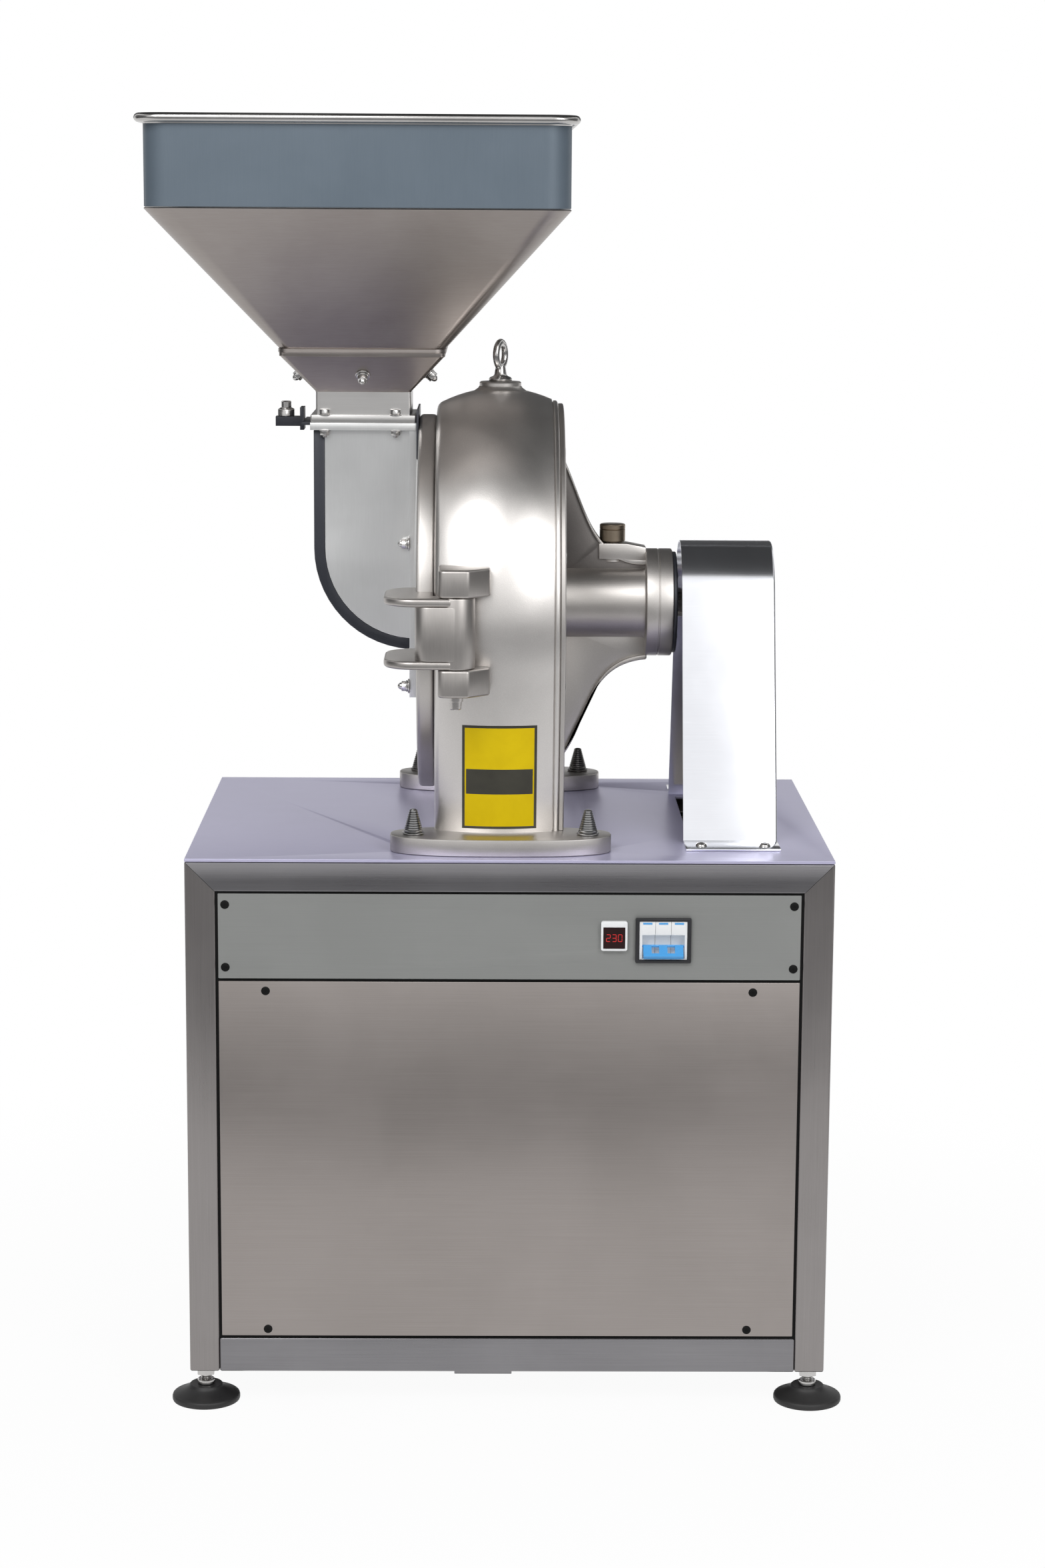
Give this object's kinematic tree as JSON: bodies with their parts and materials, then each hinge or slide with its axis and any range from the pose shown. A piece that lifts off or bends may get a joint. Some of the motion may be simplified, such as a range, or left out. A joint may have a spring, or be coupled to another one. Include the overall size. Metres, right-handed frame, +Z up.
{
  "type": "hammer mill",
  "caption": "Hammer mill on a square-tube steel cabinet, with a square hopper, feed gate and quarter-bend chute on a hinged door, a crowned casing and a belt drive under a guard.",
  "frame": {"origin": "on the floor, under the middle of the whole mill's box", "axes": "+Z up, +X to the drive side, +Y to the rear; the control panel faces -Y"},
  "size_m": [0.8022, 0.576, 1.4592],
  "materials": {
    "cabinet_steel": "brushed stainless sheet, satin",
    "sheet_steel": "satin stainless sheet",
    "cast_steel": "fine blasted stainless casting",
    "guard_steel": "polished stainless sheet",
    "band_paint": "blue-grey finish",
    "dark_trim": "black satin",
    "bright_fastener": "bright plated",
    "black_rubber": "matt",
    "black_plastic": "fine texture",
    "white_plastic": "smooth",
    "blue_plastic": "smooth",
    "meter_lens": "clear dark red",
    "motor_paint": "semi-gloss paint",
    "machined_steel": "turned",
    "pulley_iron": "turned iron",
    "wear_steel": "hard-wearing steel, worn bright",
    "lubricator_bronze": "bronze tinted"
  },
  "bodies": {
    "stand": {"cabinet_frame": "cabinet_steel", "table_top": "cabinet_steel", "control_panel": "cabinet_steel", "front_panel": "cabinet_steel", "rear_panel": "cabinet_steel", "left_panel": "cabinet_steel", "right_panel": "cabinet_steel", "motor_plate": "motor_paint", "motor_body": "motor_paint", "motor_fan_cover": "motor_paint", "motor_terminal_box": "motor_paint", "belt_inner": "black_rubber", "belt_outer": "black_rubber", "belt_guard": "guard_steel", "mill_casing": "cast_steel", "wear_liner": "wear_steel", "screen_ring": "wear_steel", "bearing_housing": "cast_steel", "bearing_rotor_side": "machined_steel", "bearing_pulley_side": "machined_steel", "bearing_cap": "dark_trim", "eye_bolt": "bright_fastener", "hinge_pin": "bright_fastener", "discharge_chute": "sheet_steel", "meter_bezel": "white_plastic", "meter_window": "meter_lens", "breaker_bezel": "black_plastic", "breaker_body": "white_plastic", "base_bolt_front_left": "bright_fastener", "base_bolt_front_right": "bright_fastener", "base_bolt_rear_left": "bright_fastener", "base_bolt_rear_right": "bright_fastener"},
    "rotor": {"rotor_shaft": "machined_steel", "rotor_hub": "wear_steel", "driven_pulley": "pulley_iron"},
    "motor_rotor": {"motor_shaft": "machined_steel", "motor_pulley": "pulley_iron"},
    "door_group": {"door": "cast_steel", "feed_chute": "sheet_steel", "chute_band": "dark_trim", "hopper_neck": "sheet_steel", "hopper_cone": "sheet_steel", "hopper_band": "band_paint"},
    "gate": {"gate_slide": "dark_trim"},
    "gate_bolt": {"gate_lock_bolt": "bright_fastener"},
    "clamp": {"clamp_screw": "black_plastic"},
    "lubricator": {"grease_cup": "lubricator_bronze"},
    "toggle": {"breaker_toggle": "blue_plastic"},
    "hammers_1": {"hammer_row_1": "wear_steel"},
    "hammers_2": {"hammer_row_2": "wear_steel"},
    "hammers_3": {"hammer_row_3": "wear_steel"},
    "hammers_4": {"hammer_row_4": "wear_steel"},
    "foot_front_left": {"foot_pad_front_left": "black_rubber", "foot_stem_front_left": "bright_fastener"},
    "foot_front_right": {"foot_pad_front_right": "black_rubber", "foot_stem_front_right": "bright_fastener"},
    "foot_rear_left": {"foot_pad_rear_left": "black_rubber", "foot_stem_rear_left": "bright_fastener"},
    "foot_rear_right": {"foot_pad_rear_right": "black_rubber", "foot_stem_rear_right": "bright_fastener"}
  },
  "joints": [
    {"name": "rotor_spin", "type": "hinge", "parent": "stand", "child": "rotor", "pos_m": [0.01405, 0, 0.9], "axis": [1, 0, 0], "continuous": true},
    {"name": "motor_spin", "type": "hinge", "parent": "stand", "child": "motor_rotor", "pos_m": [0.01405, 0, 0.2016], "axis": [1, 0, 0], "continuous": true},
    {"name": "door_hinge", "type": "hinge", "parent": "stand", "child": "door_group", "pos_m": [-0.04755, -0.2655, 0.9], "axis": [0, 0, 1], "range_deg": [0, 110]},
    {"name": "clamp_turn", "type": "hinge", "parent": "door_group", "child": "clamp", "pos_m": [-0.09275, 0.252, 0.9], "axis": [1, 0, 0], "continuous": true},
    {"name": "gate_slide", "type": "slide", "parent": "door_group", "child": "gate", "axis": [-1, 0, 0], "range_m": [0, 0.1]},
    {"name": "gate_bolt_turn", "type": "hinge", "parent": "gate", "child": "gate_bolt", "pos_m": [-0.24945, 0, 1.1135], "axis": [0, 0, 1], "continuous": true},
    {"name": "lubricator_turn", "type": "hinge", "parent": "stand", "child": "lubricator", "pos_m": [0.13505, 0, 0.9717], "axis": [0, 0, 1], "continuous": true},
    {"name": "breaker_switch", "type": "hinge", "parent": "stand", "child": "toggle", "pos_m": [0.18695, -0.2628, 0.5415], "axis": [-1, 0, 0], "range_deg": [0, 80]},
    {"name": "hammer_swing_1", "type": "hinge", "parent": "rotor", "child": "hammers_1", "pos_m": [0.01405, 0.125, 0.9], "axis": [1, 0, 0], "continuous": true},
    {"name": "hammer_swing_2", "type": "hinge", "parent": "rotor", "child": "hammers_2", "pos_m": [0.01405, 0, 1.025], "axis": [1, 0, 0], "continuous": true},
    {"name": "hammer_swing_3", "type": "hinge", "parent": "rotor", "child": "hammers_3", "pos_m": [0.01405, -0.125, 0.9], "axis": [1, 0, 0], "continuous": true},
    {"name": "hammer_swing_4", "type": "hinge", "parent": "rotor", "child": "hammers_4", "pos_m": [0.01405, 0, 0.775], "axis": [1, 0, 0], "continuous": true},
    {"name": "foot_turn_front_left", "type": "hinge", "parent": "stand", "child": "foot_front_left", "pos_m": [-0.33395, -0.249, 0.039], "axis": [0, 0, 1], "continuous": true},
    {"name": "foot_turn_front_right", "type": "hinge", "parent": "stand", "child": "foot_front_right", "pos_m": [0.36205, -0.249, 0.039], "axis": [0, 0, 1], "continuous": true},
    {"name": "foot_turn_rear_left", "type": "hinge", "parent": "stand", "child": "foot_rear_left", "pos_m": [-0.33395, 0.249, 0.039], "axis": [0, 0, 1], "continuous": true},
    {"name": "foot_turn_rear_right", "type": "hinge", "parent": "stand", "child": "foot_rear_right", "pos_m": [0.36205, 0.249, 0.039], "axis": [0, 0, 1], "continuous": true}
  ],
  "couplings": [
    {"joint": "motor_spin", "follows": "rotor_spin", "ratio": 0.78832}
  ]
}
